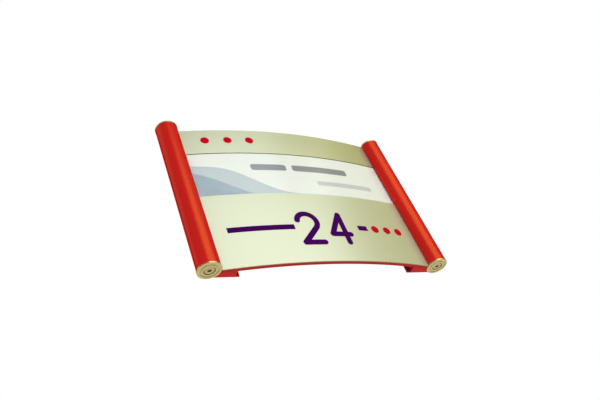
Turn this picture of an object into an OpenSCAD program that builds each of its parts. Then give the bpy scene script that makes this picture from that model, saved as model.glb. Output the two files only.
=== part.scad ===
// Bowed entrance sign for a wall. Two slotted rails hold a curved back panel, and a number
// panel, a name window and a header slide down into the rails from the top and stack up.
// +X is to the reader's right, +Y goes into the wall, +Z is up. The wall is the plane y = 0,
// and z = 0 is the middle of the rails. A depth is a distance in front of the wall.

/* [Face panels] */
// Width of every face panel, measured along its curve
panel_w = 200; // [150:1:260]
// Radius of the face's bow
face_radius = 550; // [450:5:800]
// Thickness of the header and of the number panel
panel_t = 1; // [0.8:0.1:1.6]
// Height of the header
header_h = 30; // [20:1:60]
// Height of the name window
window_h = 50; // [30:1:80]
// Height of the number panel
number_h = 75; // [62:1:110]
// Thickness of the paper card
card_t = 0.25; // [0.15:0.05:0.3]
// Thickness of the clear lens in front of the card
lens_t = 0.4; // [0.3:0.05:0.45]

/* [Back panel] */
// Thickness of the back panel
plate_t = 3; // [2:0.1:3.5]

/* [Rails] */
// Outer diameter of a rail's tube
rail_d = 19; // [18:0.5:24]
// Bore of a rail's tube
rail_bore_d = 13; // [12:0.1:13.4]
// How far a face panel's edge reaches into a rail's slot
slot_grip = 1.45; // [1:0.05:2]
// How far in front of the rail's axis the face meets the rail
face_lift = 0.6; // [0:0.1:1.5]
// How far the lower edge of the face hangs below the rails
face_drop = 1.2; // [0.5:0.1:1.4]
// Space that the rails leave above the header
rail_spare = 0.9; // [0.5:0.1:3]

/* [Feet] */
// Distance from the rail's axis to the inner edge of its foot
foot_reach = 27.5; // [24:0.5:34]
// Thickness of the lip along the foot's inner edge
foot_lip_t = 1.4; // [1:0.1:4]
// Width of that lip
foot_lip_w = 3.5; // [1:0.1:4]
// Distance from the rail's axis to the outer edge of the foot's flat back
foot_setback = 3.2; // [2:0.1:6]
// How far the foot stands behind the tube, to keep the tube off the wall
wall_gap = 0.4; // [0.4:0.1:2]

/* [Wall screws] */
// Diameter of a wall screw's hole
wall_hole_d = 4.5; // [3.5:0.1:5]
// Diameter of its countersink
wall_sink_d = 8.6; // [7:0.1:9]
// Distance from the rail's axis to the hole
wall_hole_in = 17.5; // [16:0.5:18.5]
// Distance between the upper and the lower hole
wall_hole_pitch = 110; // [60:1:130]

/* [End caps] */
// Thickness of a cap's flange
cap_t = 1.5; // [1.4:0.1:3]
// How far the flange stands out past the tube
cap_rim = 0.3; // [0.1:0.05:0.3]
// Length of the cap's spigot in the bore
spigot_len = 4; // [3.5:0.1:8]
// Chamfer around the flange
cap_chamfer = 0.4; // [0.1:0.1:0.8]
// Mean radius of the ring groove turned into the flange
ring_r = 7; // [6.4:0.1:7.6]
// Width of the ring groove
ring_w = 1; // [0.4:0.1:1.4]
// Depth of the ring groove
ring_depth = 0.6; // [0.2:0.1:0.8]

/* [Cap screws] */
// Nominal diameter of a cap screw
screw_d = 5; // [4:0.5:6]
// Diameter of its head
screw_head_d = 8.5; // [8:0.1:9.6]
// Height of its head
screw_head_h = 2.6; // [2:0.1:3]
// How far the head lies below the cap's face
head_sink = 0.15; // [0.05:0.05:0.4]
// Bevel around the top of the head
head_bevel = 0.8; // [0.2:0.1:1.2]
// Thread length below the head
screw_len = 14; // [10:0.5:16]
// Bevel at the thread's tip
tip_bevel = 0.6; // [0.2:0.1:1]
// Width across the flats of the hexagon socket
socket_af = 3; // [2.5:0.1:4]
// Depth of the hexagon socket
socket_depth = 1.6; // [1:0.1:1.8]
// Length of the threaded plug in the bore
plug_len = 14; // [12:0.5:20]

/* [Numerals and marks] */
// Width of the strokes of the numerals and bars
stroke_w = 5; // [3:0.1:6]
// Height of a numeral, over its strokes
digit_h = 36; // [28:0.5:45]
// Width of a numeral, over its strokes
digit_w = 23; // [18:0.5:24]
// Distance from the left edge of one numeral to the next
digit_pitch = 29; // [25:0.5:35]
// How far the right arm of the four reaches past its stem
four_arm = 4.7; // [3:0.1:6]
// Height of the four's crossbar above its foot
four_bar_rise = 9; // [6:0.5:12]
// How far the bars and dots lie below the middle of the number panel
mark_drop = 0.8; // [-4:0.1:4]
// How far the middle of the numerals lies below the bars
digits_drop = 1.3; // [0:0.1:3]
// Distance from the panel's left edge to the long bar
bar_in = 15; // [5:0.5:30]
// Gap between the long bar and the numerals
bar_gap = 2; // [1:0.5:15]
// Gap between the numerals and the short bar
dash_gap = 8.5; // [3:0.5:15]
// Length of the short bar
dash_len = 9.5; // [5:0.5:20]
// Gap between the short bar and the first dot
dot_gap = 5.3; // [2:0.1:15]
// Diameter of the dots
dot_d = 7.7; // [5:0.1:9]
// Distance between the number panel's dots
number_dot_pitch = 13.4; // [10:0.1:18]
// Distance from the panel's right edge to the middle of its last dot
number_dots_in = 18.5; // [8:0.5:30]
// Distance from the panel's left edge to the middle of the header's first dot
header_dots_in = 22.5; // [8:0.5:40]
// Distance between the header's dots
header_dot_pitch = 20.7; // [10:0.1:30]
// How far the header's dots lie above its middle
header_dot_lift = 1.5; // [-4:0.1:4]
// Thickness of the film that the marks are cut from
film_t = 0.25; // [0.1:0.05:0.4]

/* [Clearances] */
// Running gap of a face panel in its slot, in front of it and behind it
slide_gap = 0.2; // [0.15:0.01:0.3]
// Gap between two face panels that stand on each other
stack_gap = 0.1; // [0.05:0.01:0.3]
// Gap between a panel's edge and the floor of its slot
side_gap = 0.45; // [0.2:0.05:0.6]
// Gap between pieces that are fitted together for good
seat_gap = 0.05; // [0.02:0.01:0.1]
// Gap around a cap's flange where a panel's corner is cut away
corner_gap = 0.3; // [0.2:0.05:1]
// Gap around a cap screw's shank and head in the cap
screw_gap = 0.35; // [0.2:0.05:0.5]

/* [Hidden] */

// Facets of small round features, and of the wide arcs of the bow
$fn = 64;
bow_fn = 720;
// Small step past a face that a cut goes through
past = 1;

red = [0.78, 0.12, 0.10];
champagne = [0.86, 0.87, 0.72];
pale_gold = [0.78, 0.74, 0.52];
steel = [0.62, 0.60, 0.52];
purple = [0.26, 0.04, 0.30];
dot_red = [0.85, 0.02, 0.13];
paper = [0.94, 0.95, 0.94];
clear = [0.90, 0.95, 0.97, 0.35];

// Radii of the layers that follow the bow, from the front to the back
lens_front_r = face_radius - panel_t + card_t + seat_gap + lens_t;
panel_back_r = face_radius - panel_t;
plate_front_r = panel_back_r - slide_gap;
plate_back_r = plate_front_r - plate_t;
slot_front_r = face_radius + slide_gap;
slot_back_r = plate_back_r - seat_gap;

// Plan of the rails
panel_angle = panel_w / 2 / face_radius * 180 / PI;
panel_edge_x = face_radius * sin(panel_angle);
flank_x = panel_edge_x - slot_grip;
rail_x = flank_x + rail_d / 2;
rail_depth = rail_d / 2 + wall_gap;
slot_floor_x = panel_edge_x + side_gap;
// Centre of the bow, behind the wall
bow_y = sqrt(face_radius ^ 2 - flank_x ^ 2) - rail_depth - face_lift;
// Depth of the layer of radius r at the distance x from the middle
function bow_depth(x, r) = sqrt(r ^ 2 - x ^ 2) - bow_y;
face_depth = bow_depth(0, face_radius);

// Heights of the stack
stack_h = number_h + window_h + header_h + 2 * stack_gap;
rail_len = stack_h + rail_spare - face_drop;
number_z = -rail_len / 2 - face_drop;
window_z = number_z + number_h + stack_gap;
header_z = window_z + window_h + stack_gap;
mark_z = number_z + number_h / 2 - mark_drop;
header_dot_z = header_z + header_h / 2 + header_dot_lift;

// Feet
foot_inner_x = rail_x - foot_reach;
foot_outer_x = rail_x - foot_setback;
wall_hole_x = rail_x - wall_hole_in;

// Caps, screws and plugs
cap_r = rail_d / 2 + cap_rim;
spigot_r = rail_bore_d / 2 - seat_gap;
recess_r = screw_head_d / 2 + screw_gap;
recess_depth = screw_head_h + head_sink;
screw_r = screw_d / 2;
corner_x = rail_x - cap_r - corner_gap;

// Row of marks, laid out from the panel's right edge; the long bar fills what is left
number_dot_x = panel_edge_x - number_dots_in - number_dot_pitch;
dash_x = number_dot_x - number_dot_pitch - dot_d / 2 - dot_gap - dash_len;
digits_x = dash_x - dash_gap - digit_w - digit_pitch;
bar_x = bar_in - panel_edge_x;
bar_len = digits_x - bar_gap - bar_x;
header_dot_x = header_dots_in + header_dot_pitch - panel_edge_x;

// Numerals, on the centre lines of their strokes
line_h = digit_h - stroke_w;
line_w = digit_w - stroke_w;
hair = 0.2;
pen_fn = 32;
digits_z = mark_z - digits_drop - digit_h / 2;

// Sector of the bow between two radii, as wide as a face panel
module bow_band(front_r, back_r) {
    reach = 2 * face_radius;
    intersection() {
        translate([0, bow_y])
            difference() {
                circle(r = front_r, $fn = bow_fn);
                circle(r = back_r, $fn = bow_fn);
            }
        polygon([
            [0, bow_y],
            [-reach * sin(panel_angle), bow_y - reach * cos(panel_angle)],
            [reach * sin(panel_angle), bow_y - reach * cos(panel_angle)]
        ]);
    }
}

// Curved sheet between two radii, standing on the height z
module bow_sheet(front_r, back_r, z, h) {
    translate([0, 0, z])
        linear_extrude(h)
            bow_band(front_r, back_r);
}

// The two lower corners that stand on the end caps, to cut from a sheet
module cap_corners() {
    depth = face_depth + past;
    for (side = [-1, 1])
        translate([side > 0 ? corner_x : -corner_x - rail_d, -depth, number_z - past])
            cube([rail_d, depth, face_drop + stack_gap + past]);
}

// Foot of the right rail, cut to the back panel's curve
module foot_plan() {
    body_x = foot_inner_x + foot_lip_w;
    intersection() {
        polygon([
            [foot_inner_x, 0],
            [foot_inner_x, -foot_lip_t],
            [body_x, -foot_lip_t],
            [body_x, -rail_depth],
            [foot_outer_x, -rail_depth],
            [foot_outer_x, 0]
        ]);
        translate([0, bow_y])
            circle(r = slot_back_r, $fn = bow_fn);
    }
}

// Room in the right rail for the edges of the back panel and of the face panels
module slot_plan() {
    intersection() {
        translate([0, bow_y])
            difference() {
                circle(r = slot_front_r, $fn = bow_fn);
                circle(r = slot_back_r, $fn = bow_fn);
            }
        translate([0, -face_depth - past])
            square([slot_floor_x, face_depth + past]);
    }
}

module rail_plan() {
    difference() {
        union() {
            translate([rail_x, -rail_depth])
                circle(d = rail_d);
            foot_plan();
        }
        translate([rail_x, -rail_depth])
            circle(d = rail_bore_d);
        slot_plan();
    }
}

// Countersunk hole through the right foot, for a screw into the wall
module wall_hole() {
    top = bow_depth(wall_hole_x, slot_back_r);
    sink_h = (wall_sink_d - wall_hole_d) / 2;
    translate([wall_hole_x, 0, 0])
        rotate([90, 0, 0]) {
            translate([0, 0, -past])
                cylinder(d = wall_hole_d, h = top + 2 * past);
            translate([0, 0, top - sink_h])
                cylinder(d1 = wall_hole_d, d2 = wall_sink_d, h = sink_h);
            translate([0, 0, top])
                cylinder(d = wall_sink_d, h = past);
        }
}

module rail() {
    color(red)
        difference() {
            translate([0, 0, -rail_len / 2])
                linear_extrude(rail_len)
                    rail_plan();
            for (end = [-1, 1])
                translate([0, 0, end * wall_hole_pitch / 2])
                    wall_hole();
        }
}

// Puts a piece modelled on z = 0, outer face down, at a rail's end:
// side is -1 at the left and 1 at the right, end is -1 at the bottom and 1 at the top
module at_rail_end(side, end) {
    translate([side * rail_x, -rail_depth, end * (rail_len / 2 + cap_t)])
        mirror([0, 0, end > 0 ? 1 : 0])
            children();
}

module cap_turning() {
    hole_r = screw_r + screw_gap;
    ring_in = ring_r - ring_w / 2;
    ring_out = ring_r + ring_w / 2;
    rotate_extrude()
        polygon([
            [hole_r, recess_depth],
            [recess_r, recess_depth],
            [recess_r, 0],
            [ring_in, 0],
            [ring_in, ring_depth],
            [ring_out, ring_depth],
            [ring_out, 0],
            [cap_r - cap_chamfer, 0],
            [cap_r, cap_chamfer],
            [cap_r, cap_t],
            [spigot_r, cap_t],
            [spigot_r, cap_t + spigot_len],
            [hole_r, cap_t + spigot_len]
        ]);
}

// A lower cap closes the slot and carries the face panels
module lower_cap(side) {
    color(pale_gold)
        at_rail_end(side, -1)
            cap_turning();
}

// An upper cap is notched where the face panels slide in and out
module upper_cap(side) {
    color(pale_gold)
        difference() {
            at_rail_end(side, 1)
                cap_turning();
            translate([0, 0, rail_len / 2 - past])
                linear_extrude(cap_t + 2 * past)
                    mirror([side < 0 ? 1 : 0, 0])
                        entry_plan();
        }
}

// Opening of the right upper cap's notch
module entry_plan() {
    intersection() {
        translate([0, bow_y])
            difference() {
                circle(r = slot_front_r, $fn = bow_fn);
                circle(r = plate_front_r, $fn = bow_fn);
            }
        translate([0, -face_depth - past])
            square([slot_floor_x, face_depth + past]);
    }
}

module cap_screw(side, end) {
    top = head_sink;
    seat = recess_depth;
    head_r = screw_head_d / 2;
    tip = seat + screw_len;
    color(steel)
        at_rail_end(side, end)
            difference() {
                rotate_extrude()
                    polygon([
                        [0, top],
                        [head_r - head_bevel, top],
                        [head_r, top + head_bevel],
                        [head_r, seat],
                        [screw_r, seat],
                        [screw_r, tip - tip_bevel],
                        [screw_r - tip_bevel, tip],
                        [0, tip]
                    ]);
                translate([0, 0, top - past])
                    cylinder(d = socket_af / cos(30), h = socket_depth + past, $fn = 6);
            }
}

module thread_plug(side, end) {
    color(steel)
        at_rail_end(side, end)
            translate([0, 0, cap_t + spigot_len + seat_gap])
                difference() {
                    cylinder(r = spigot_r, h = plug_len);
                    translate([0, 0, -past])
                        cylinder(r = screw_r + seat_gap, h = plug_len + 2 * past);
                }
}

module back_panel() {
    color(red)
        difference() {
            bow_sheet(plate_front_r, plate_back_r, number_z, stack_h);
            cap_corners();
        }
}

module number_panel() {
    color(champagne)
        difference() {
            bow_sheet(face_radius, panel_back_r, number_z, number_h);
            cap_corners();
        }
}

module name_card() {
    color(paper)
        bow_sheet(panel_back_r + card_t, panel_back_r, window_z, window_h);
}

module name_lens() {
    color(clear)
        bow_sheet(lens_front_r, lens_front_r - lens_t, window_z, window_h);
}

module header_panel() {
    color(champagne)
        bow_sheet(face_radius, panel_back_r, header_z, header_h);
}

// Thin film on the face, in the outline of its flat child
module face_film() {
    intersection() {
        rotate([90, 0, 0])
            linear_extrude(face_depth + 2 * film_t)
                children();
        translate([0, bow_y, number_z])
            difference() {
                cylinder(r = face_radius + film_t, h = stack_h, $fn = bow_fn);
                translate([0, 0, -past])
                    cylinder(r = face_radius, h = stack_h + 2 * past, $fn = bow_fn);
            }
    }
}

// Widens hairlines to round-ended strokes
module pen() {
    offset(r = (stroke_w - hair) / 2, $fn = pen_fn)
        children();
}

// Hairline between two points
module line(from, to) {
    run = to - from;
    translate(from)
        rotate(atan2(run[1], run[0]))
            translate([0, -hair / 2])
                square([norm(run), hair]);
}

// Hairline arc about the origin, from one angle anticlockwise to another, under 270 degrees apart
module arc_line(r, from, to) {
    reach = 3 * r;
    third = (to - from) / 3;
    intersection() {
        difference() {
            circle(r = r + hair / 2);
            circle(r = r - hair / 2);
        }
        polygon(concat(
            [[0, 0]],
            [for (step = [0:3]) reach * [cos(from + step * third), sin(from + step * third)]]
        ));
    }
}

// The numeral two: a bowl, a slope that leaves the bowl as its tangent, and a base
module digit_two() {
    bowl_r = line_w / 2;
    bowl = [bowl_r, line_h - bowl_r];
    slope = atan2(bowl[1], bowl[0]) - asin(bowl_r / norm(bowl));
    run = sqrt(norm(bowl) ^ 2 - bowl_r ^ 2);
    bowl_start = 168;
    translate(bowl)
        arc_line(bowl_r, slope - 90, bowl_start);
    line([0, 0], run * [cos(slope), sin(slope)]);
    line([0, 0], [line_w, 0]);
}

// The numeral four: a slope, a crossbar and a stem
module digit_four() {
    stem_x = line_w - four_arm;
    line([0, four_bar_rise], [stem_x, line_h]);
    line([0, four_bar_rise], [line_w, four_bar_rise]);
    line([stem_x, 0], [stem_x, line_h]);
}

module number_digits() {
    color(purple)
        face_film()
            translate([digits_x + stroke_w / 2, digits_z + stroke_w / 2]) {
                pen()
                    digit_two();
                translate([digit_pitch, 0])
                    pen()
                        digit_four();
            }
}

module number_bars() {
    color(purple)
        face_film()
            for (bar = [[bar_x, bar_len], [dash_x, dash_len]])
                translate([bar[0], mark_z - stroke_w / 2])
                    square([bar[1], stroke_w]);
}

// Row of three dots about its middle one
module dot_row(x, z, pitch) {
    color(dot_red)
        face_film()
            for (i = [-1:1])
                translate([x + i * pitch, z])
                    circle(d = dot_d);
}

module number_dots() {
    dot_row(number_dot_x, mark_z, number_dot_pitch);
}

module header_dots() {
    dot_row(header_dot_x, header_dot_z, header_dot_pitch);
}

mirror([1, 0, 0]) rail();  // left_rail
rail();  // right_rail
back_panel();
lower_cap(-1);  // lower_left_cap
lower_cap(1);  // lower_right_cap
upper_cap(-1);  // upper_left_cap
upper_cap(1);  // upper_right_cap
cap_screw(-1, -1);  // lower_left_screw
cap_screw(1, -1);  // lower_right_screw
cap_screw(-1, 1);  // upper_left_screw
cap_screw(1, 1);  // upper_right_screw
thread_plug(-1, -1);  // lower_left_plug
thread_plug(1, -1);  // lower_right_plug
thread_plug(-1, 1);  // upper_left_plug
thread_plug(1, 1);  // upper_right_plug
number_panel();
number_digits();
number_bars();
number_dots();
name_card();
name_lens();
header_panel();
header_dots();
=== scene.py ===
"""Studio model of a bowed entrance sign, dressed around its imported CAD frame.

Two slotted red rails on feet hold a curved back panel. A number panel, a name window and a header
slide down into the rails from above. Meshes are in metres in the frame's axes: +X to the reader's
right, +Y into the wall, +Z up. The wall is the plane y = 0 and z = 0 is the middle of the rails.
"""

import logging
import math
from dataclasses import dataclass
from enum import Enum
from typing import Any, Optional, Sequence, Union

import bmesh
import bpy
from mathutils import Euler, Matrix, Vector


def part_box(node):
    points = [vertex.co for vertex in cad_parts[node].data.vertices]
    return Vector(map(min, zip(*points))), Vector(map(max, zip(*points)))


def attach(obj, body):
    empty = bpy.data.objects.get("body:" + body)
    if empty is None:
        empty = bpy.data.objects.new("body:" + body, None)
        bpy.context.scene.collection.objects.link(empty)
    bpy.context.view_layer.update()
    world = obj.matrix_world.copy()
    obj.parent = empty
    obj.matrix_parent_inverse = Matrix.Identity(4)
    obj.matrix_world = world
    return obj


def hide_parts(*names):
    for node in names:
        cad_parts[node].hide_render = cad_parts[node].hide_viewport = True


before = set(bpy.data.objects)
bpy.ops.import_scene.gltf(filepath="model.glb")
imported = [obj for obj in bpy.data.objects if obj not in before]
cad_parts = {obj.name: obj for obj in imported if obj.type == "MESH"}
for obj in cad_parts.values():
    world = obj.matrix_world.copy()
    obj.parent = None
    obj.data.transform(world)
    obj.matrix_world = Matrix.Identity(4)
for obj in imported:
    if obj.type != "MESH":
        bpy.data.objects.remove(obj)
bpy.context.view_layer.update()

Mesh = bmesh.types.BMesh
Piece = bpy.types.Object
Ring = list[bmesh.types.BMVert]
Point = tuple[float, float]
Triple = tuple[float, float, float]
Colour = tuple[float, float, float]
Input = Union[float, Sequence[float], "Wire"]

LOG = logging.getLogger("entrance_sign")
MM = 0.001
QUARTER_TURN = math.pi / 2
MIRROR_X = Matrix.Scale(-1, 4, (1, 0, 0))
WHITE: Colour = (1.0, 1.0, 1.0)

# Finishes of the studio belong to no slot of the record.
NO_SLOT = ""

# Display curve of the colours as they are written: a straight toe, then a power.
SRGB_TOP = 255
SRGB_TOE = 0.04045
SRGB_SLOPE = 12.92
SRGB_LIFT = 0.055
SRGB_POWER = 2.4

# Middle of a noise node's range, and the kinds of socket that hold plain values.
NOISE_MIDDLE = 0.5
VALUE_KINDS = ("VALUE", "INT", "BOOLEAN")

# Outlines: the sharpest mitre, a corner too flat to round, and the share of an edge that a rounding takes.
MITRE_LIMIT = 0.4
FLAT_CORNER = math.radians(175)
ROUNDING_SHARE = 0.45

# Shading: bends sharper than the crease stay sharp, and large faces weigh most in the normals.
CREASE = math.radians(34)
FACE_WEIGHT = 100

# Faces this near to a piece's lower or upper end, and this square to it, take the finish of its ends.
END_BAND = 0.5 * MM
END_SLANT = 0.7

# Drawing streaks per metre along X, Y and Z: upright on the rails and the plate, level on the face.
UPRIGHT_STREAKS: Triple = (900.0, 900.0, 9.0)
LEVEL_STREAKS: Triple = (9.0, 60.0, 900.0)


class Side(Enum):
    """Side of the sign, as the sign of its X."""

    LEFT = -1
    RIGHT = 1


class End(Enum):
    """End of a rail, as the sign of its Z."""

    LOWER = -1
    UPPER = 1


class Body(Enum):
    """Bodies of the frame that the pieces ride on."""

    FRAME = "frame"
    NUMBER = "number_module"
    NAME = "name_module"
    HEADER = "header_module"


def linear(level: int) -> float:
    """Undoes the display curve of one colour channel.

    Args:
        level: The channel's level, from 0 to 255.

    Returns:
        The linear value, from 0 to 1.
    """
    share = level / SRGB_TOP
    if share <= SRGB_TOE:
        return share / SRGB_SLOPE
    return ((share + SRGB_LIFT) / (1 + SRGB_LIFT)) ** SRGB_POWER


def srgb(red: int, green: int, blue: int) -> Colour:
    """Turns a display colour, in levels from 0 to 255, into the renderer's linear values."""
    return linear(red), linear(green), linear(blue)


class Wire:
    """One output of a shader node. Python's operators on wires add the nodes that work them out."""

    def __init__(self, graph: "Graph", node: bpy.types.Node, output: Union[int, str] = 0) -> None:
        """Keeps what the wire comes from.

        Args:
            graph: The graph that holds the node.
            node: The node.
            output: The name or place of the node's output.
        """
        self.graph = graph
        self.node = node
        self.output = output

    @property
    def socket(self) -> bpy.types.NodeSocket:
        """The output socket itself."""
        return self.node.outputs[self.output]

    def __getitem__(self, output: Union[int, str]) -> "Wire":
        """Gives another output of the same node."""
        return Wire(self.graph, self.node, output)

    def _work(self, operation: str, *terms: Input) -> "Wire":
        """Adds a Math node, or a Vector Math node where any term is a vector or a colour.

        Args:
            operation: The node's operation.
            *terms: Wires, numbers or triples, in the node's order.

        Returns:
            The result's wire.
        """
        kinds = [term.socket.type for term in terms if isinstance(term, Wire)]
        triples = [term for term in terms if isinstance(term, (tuple, list))]
        plain = not triples and all(kind in VALUE_KINDS for kind in kinds)
        node = "ShaderNodeMath" if plain else "ShaderNodeVectorMath"
        return self.graph.add(node, {"operation": operation}, dict(enumerate(terms)))

    def __add__(self, other: Input) -> "Wire":
        """Adds."""
        return self._work("ADD", self, other)

    def __radd__(self, other: Input) -> "Wire":
        """Adds, with the wire on the right."""
        return self._work("ADD", other, self)

    def __sub__(self, other: Input) -> "Wire":
        """Subtracts."""
        return self._work("SUBTRACT", self, other)

    def __rsub__(self, other: Input) -> "Wire":
        """Subtracts, with the wire on the right."""
        return self._work("SUBTRACT", other, self)

    def __mul__(self, other: Input) -> "Wire":
        """Multiplies."""
        return self._work("MULTIPLY", self, other)

    def __rmul__(self, other: Input) -> "Wire":
        """Multiplies, with the wire on the right."""
        return self._work("MULTIPLY", other, self)

    def __truediv__(self, other: Input) -> "Wire":
        """Divides."""
        return self._work("DIVIDE", self, other)

    def __rtruediv__(self, other: Input) -> "Wire":
        """Divides, with the wire on the right."""
        return self._work("DIVIDE", other, self)

    def __pow__(self, power: Input) -> "Wire":
        """Raises to a power."""
        return self._work("POWER", self, power)

    def __rpow__(self, base: Input) -> "Wire":
        """Raises, with the wire as the power."""
        return self._work("POWER", base, self)

    def __abs__(self) -> "Wire":
        """Takes the value without its sign."""
        return self._work("ABSOLUTE", self)

    def at_least(self, other: Input) -> "Wire":
        """Takes the larger of two values."""
        return self._work("MAXIMUM", self, other)

    def at_most(self, other: Input) -> "Wire":
        """Takes the smaller of two values."""
        return self._work("MINIMUM", self, other)

    def sine(self) -> "Wire":
        """Takes the sine of an angle in radians."""
        return self._work("SINE", self)


class Graph:
    """Builder of one node tree, which it starts empty."""

    def __init__(self, tree: bpy.types.NodeTree) -> None:
        """Clears the tree to be built."""
        self.tree = tree
        tree.nodes.clear()

    def add(
        self,
        kind: str,
        settings: Optional[dict[str, Any]] = None,
        sockets: Optional[dict[Union[int, str], Input]] = None,
    ) -> Wire:
        """Adds any node.

        Args:
            kind: The node's type.
            settings: Its own settings, which are set first.
            sockets: Values or wires for its inputs, by name or place.

        Returns:
            The wire of its first output.
        """
        node = self.tree.nodes.new(kind)
        for name, value in (settings or {}).items():
            setattr(node, name, value)
        for key, value in (sockets or {}).items():
            self._feed(node.inputs[key], value)
        return Wire(self, node)

    def _feed(self, socket: bpy.types.NodeSocket, value: Input) -> None:
        """Links a wire to an input, or sets its value.

        Args:
            socket: The input.
            value: The wire, number or triple for it.
        """
        if isinstance(value, Wire):
            self.tree.links.new(value.socket, socket)
        elif socket.type == "RGBA":
            socket.default_value = (*value, 1.0)
        elif socket.type == "VECTOR" and not isinstance(value, (tuple, list)):
            socket.default_value = (value,) * 3
        else:
            socket.default_value = value

    def place(self) -> Wire:
        """The point's place on the object, in metres."""
        return self.add("ShaderNodeTexCoord")["Object"]

    def facing(self) -> Wire:
        """Direction that the surface faces, in the frame's axes."""
        return self.add("ShaderNodeTexCoord")["Normal"]

    def split(self, vector: Wire) -> tuple[Wire, Wire, Wire]:
        """The three parts of a vector."""
        parts = self.add("ShaderNodeSeparateXYZ", None, {0: vector})
        return parts["X"], parts["Y"], parts["Z"]

    def noise(self, place: Wire, scale: float = 1.0, detail: float = 2.0) -> Wire:
        """Soft noise from 0 to 1, with about scale features in each unit of place."""
        return self.add("ShaderNodeTexNoise", None, {"Vector": place, "Scale": scale, "Detail": detail})

    def row_noise(self, along: Wire, scale: float, detail: float = 2.0) -> Wire:
        """Noise from 0 to 1 that changes along one value only."""
        settings = {"noise_dimensions": "1D"}
        return self.add("ShaderNodeTexNoise", settings, {"W": along, "Scale": scale, "Detail": detail})

    def fade(self, value: Wire, start: float, stop: float) -> Wire:
        """Smooth step from 0 at start to 1 at stop."""
        settings = {"interpolation_type": "SMOOTHSTEP"}
        return self.add("ShaderNodeMapRange", settings, {"Value": value, "From Min": start, "From Max": stop})

    def mix(self, share: Input, first: Input, second: Input) -> Wire:
        """Blends two colours, from the first at 0 to the second at 1."""
        sockets = {0: share, 6: first, 7: second}
        return self.add("ShaderNodeMix", {"data_type": "RGBA"}, sockets)[2]

    def bump(self, height: Wire, depth: float) -> Wire:
        """Normal of a surface whose height of 0 to 1 stands for a depth in metres."""
        return self.add("ShaderNodeBump", None, {"Height": height, "Distance": depth, "Strength": 1.0})

    def seen(self) -> Wire:
        """1 for what the camera sees, straight or by a reflection or through glass, else 0."""
        path = self.add("ShaderNodeLightPath")
        return (path["Is Camera Ray"] + path["Is Glossy Ray"] + path["Is Transmission Ray"]).at_most(1.0)

    def surface(self, sockets: dict[str, Input]) -> Wire:
        """Principled shader with the given inputs."""
        return self.add("ShaderNodeBsdfPrincipled", None, sockets)

    def blend(self, share: Input, first: Wire, second: Wire) -> Wire:
        """Blends two shaders, from the first at 0 to the second at 1."""
        return self.add("ShaderNodeMixShader", None, {0: share, 1: first, 2: second})


@dataclass(frozen=True)
class Finish:
    """Base of the finishes: a named procedural material and the record's slot that it belongs to."""

    name: str
    slot: str

    def shade(self, graph: Graph) -> Wire:
        """Builds the finish's nodes and gives its shader."""
        raise NotImplementedError

    def material(self) -> bpy.types.Material:
        """Gives the finish's material, which is made on first use.

        Returns:
            The material.
        """
        made = bpy.data.materials.get(self.name)
        if made is None:
            made = bpy.data.materials.new(self.name)
            made.use_nodes = True
            graph = Graph(made.node_tree)
            graph.add("ShaderNodeOutputMaterial", None, {"Surface": self.shade(graph)})
        return made

    def dress_node(self, node: str) -> Piece:
        """Puts the finish on a CAD node that keeps its own mesh.

        Args:
            node: The node's name.

        Returns:
            The node's object.
        """
        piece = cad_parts[node]
        for slot in piece.material_slots:
            slot.material = self.material()
        return piece


@dataclass(frozen=True)
class SatinMetal(Finish):
    """Anodised aluminium: a dyed satin skin with long drawing streaks and a fine blasted grain.

    A lustre is the share of bare metal that shines through the dye, in the dye's tint.
    """

    light: Colour
    deep: Colour
    streaks: Triple
    metallic: float
    roughness: float
    gloss: float
    lustre: float = 0.0
    lustre_tint: Colour = WHITE
    streak_detail: float = 3.0
    streak_tone: float = 0.7
    streak_rough: float = 0.1
    streak_relief: float = 0.5
    grain_scale: float = 5200.0
    grain_tone: float = 0.5
    grain_rough: float = 0.08
    cloud_scale: float = 16.0
    cloud_tone: float = 0.5
    relief: float = 0.012 * MM

    def shade(self, graph: Graph) -> Wire:
        """Builds streaks, grain and slow clouds of tone over the dyed metal.

        Args:
            graph: The material's graph.

        Returns:
            The finish's shader.
        """
        place = graph.place()
        streaks = graph.noise(place * self.streaks, detail=self.streak_detail) - NOISE_MIDDLE
        grain = graph.noise(place, self.grain_scale) - NOISE_MIDDLE
        clouds = graph.noise(place, self.cloud_scale) - NOISE_MIDDLE
        tone = NOISE_MIDDLE + streaks * self.streak_tone + clouds * self.cloud_tone + grain * self.grain_tone
        rough = self.roughness + streaks * self.streak_rough + grain * self.grain_rough
        normal = graph.bump(streaks * self.streak_relief + grain, self.relief)
        skin = graph.surface({
            "Base Color": graph.mix(tone, self.deep, self.light),
            "Metallic": self.metallic,
            "Roughness": rough,
            "Specular IOR Level": self.gloss,
            "Normal": normal,
        })
        if not self.lustre:
            return skin
        metal = graph.surface({
            "Base Color": self.lustre_tint,
            "Metallic": 1.0,
            "Roughness": rough,
            "Normal": normal,
        })
        return graph.blend(self.lustre, skin, metal)


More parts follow.
